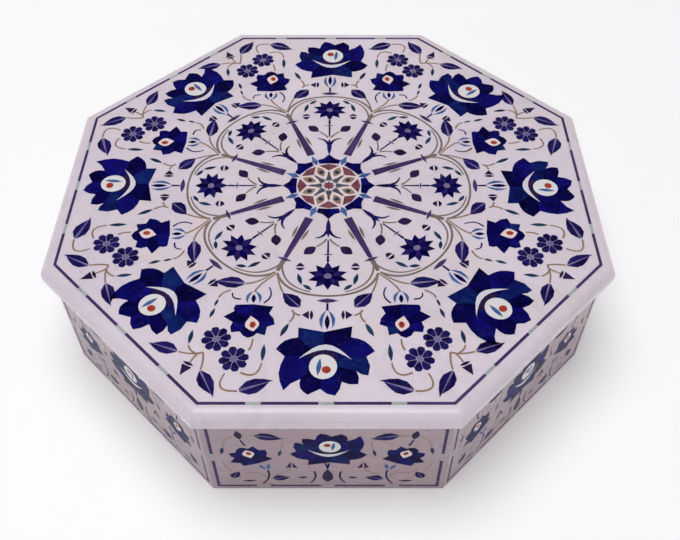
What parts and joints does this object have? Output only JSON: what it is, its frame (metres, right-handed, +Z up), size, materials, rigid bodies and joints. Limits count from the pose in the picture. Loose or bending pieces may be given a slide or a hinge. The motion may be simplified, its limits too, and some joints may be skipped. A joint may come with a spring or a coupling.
{
  "type": "inlaid marble box",
  "caption": "Shallow octagonal box of white marble with a lift-off slab lid, set with a floral hard-stone inlay of lotuses, leaves and a central rosette.",
  "frame": {"origin": "middle of the underside, on the surface that the box stands on", "axes": "+Z up through the lid, -Y out of the front wall, +X to the right seen from the front"},
  "size_m": [0.305, 0.305, 0.081],
  "materials": {
    "white_marble": "polished white Makrana marble with faint grey veins",
    "violet_jasper": "polished violet-brown jasper",
    "pale_jade": "polished pale green jade",
    "lapis_navy": "polished dark lapis lazuli with gold pyrite flecks",
    "lapis_royal": "polished bright lapis lazuli",
    "lapis_teal": "polished greenish lapis lazuli",
    "mother_of_pearl": "polished mother of pearl",
    "grey_pearl": "polished grey mother of pearl",
    "plum_jasper": "polished dark plum jasper",
    "carnelian": "polished carnelian",
    "pink_shell": "polished pink shell",
    "turquoise": "polished turquoise",
    "violet_lapis": "polished violet-blue lapis",
    "lilac_quartz": "polished lilac quartz",
    "golden_shell": "polished tan shell",
    "dark_jade": "polished dark jade",
    "red_jasper": "polished red jasper",
    "grey_slate": "polished dark grey slate"
  },
  "bodies": {
    "box": {"floor_plate": "white_marble", "wall_front": "white_marble", "wall_front_right": "white_marble", "wall_right": "white_marble", "wall_back_right": "white_marble", "wall_back": "white_marble", "wall_back_left": "white_marble", "wall_left": "white_marble", "wall_front_left": "white_marble", "wall_border_bars": "violet_jasper", "wall_border_inserts": "pale_jade", "wall_petals_navy": "lapis_navy", "wall_petals_royal": "lapis_royal", "wall_petals_teal": "lapis_teal", "wall_eye_discs": "mother_of_pearl", "wall_eye_boats": "grey_pearl", "wall_eye_tongues": "plum_jasper", "wall_red_drops": "carnelian", "wall_flower_hearts": "pink_shell", "wall_calyx_lobes": "turquoise", "wall_leaf_halves": "violet_lapis", "wall_leaf_ribs": "lilac_quartz"},
    "lid": {"lid_slab": "white_marble", "lid_locating_plate": "white_marble", "lid_border_bars": "violet_jasper", "lid_border_inserts": "pale_jade", "lid_petals_navy": "lapis_navy", "lid_petals_royal": "lapis_royal", "lid_petals_teal": "lapis_teal", "lid_eye_discs": "mother_of_pearl", "lid_eye_boats": "grey_pearl", "lid_eye_tongues": "plum_jasper", "lid_red_drops": "carnelian", "lid_flower_hearts": "pink_shell", "lid_calyx_lobes": "turquoise", "lid_calyx_hearts": "lapis_navy", "lid_small_petals": "violet_lapis", "lid_star_petals_dark": "lapis_navy", "lid_star_petals_violet": "violet_lapis", "lid_leaf_halves": "violet_lapis", "lid_leaf_ribs": "lilac_quartz", "lid_columns": "violet_jasper", "rosette_points_navy": "lapis_navy", "rosette_points_royal": "lapis_royal", "rosette_spikes": "turquoise", "rosette_petals": "pink_shell", "rosette_hearts": "golden_shell", "rosette_dots": "dark_jade", "rosette_lozenges": "red_jasper", "rosette_star": "grey_slate"}
  },
  "joints": [
    {"name": "lid_lift", "type": "slide", "parent": "box", "child": "lid", "axis": [0, 0, 1], "range_m": [0, 0.12]}
  ]
}
